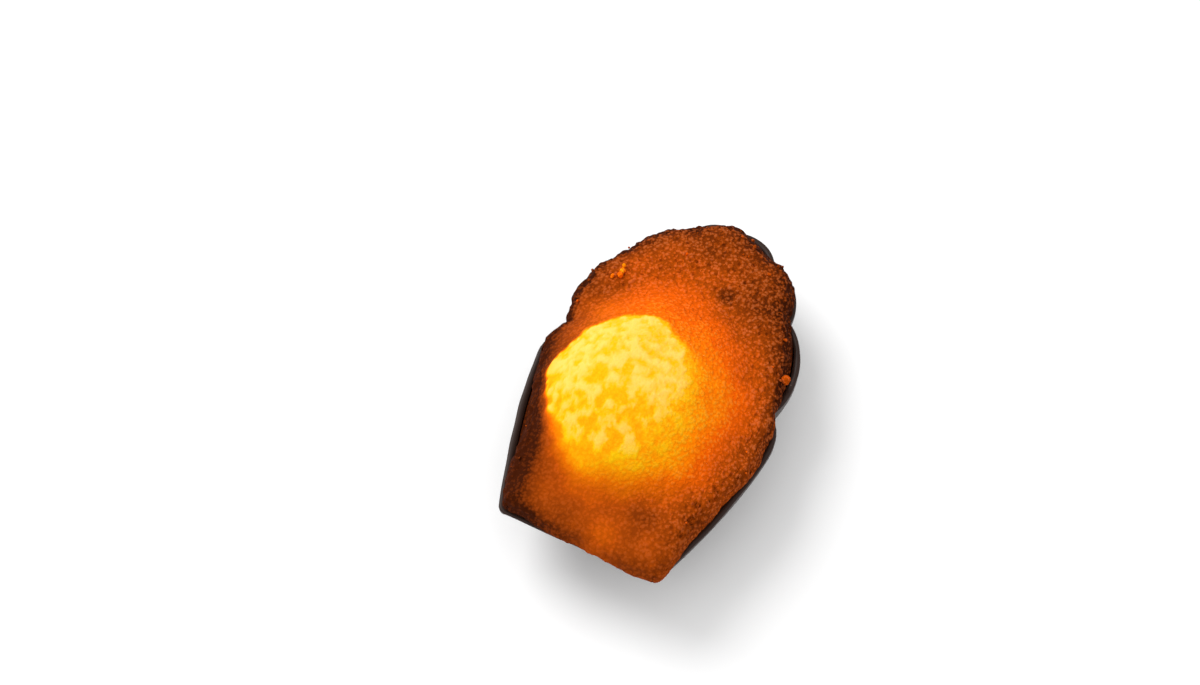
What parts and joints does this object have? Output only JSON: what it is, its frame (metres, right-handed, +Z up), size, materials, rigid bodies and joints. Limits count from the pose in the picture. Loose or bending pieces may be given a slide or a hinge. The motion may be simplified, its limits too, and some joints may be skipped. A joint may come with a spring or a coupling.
{
  "type": "madeleine cake",
  "caption": "Shell-shaped sponge cake with a browned humped top, its scalloped underside in a thin moulded shell of dark chocolate.",
  "frame": {"origin": "centre of the bounding box at its lowest face, where the scalloped belly meets the table", "axes": "+Y from the flat narrow end to the round wide end, +X across, +Z up through the hump"},
  "size_m": [0.0514, 0.0786, 0.0327],
  "materials": {
    "baked_sponge": "matt, browned and finely porous crust",
    "dark_chocolate": "satin, as it comes out of a smooth mould"
  },
  "bodies": {
    "root": {"sponge": "baked_sponge", "chocolate_shell": "dark_chocolate"}
  },
  "joints": []
}
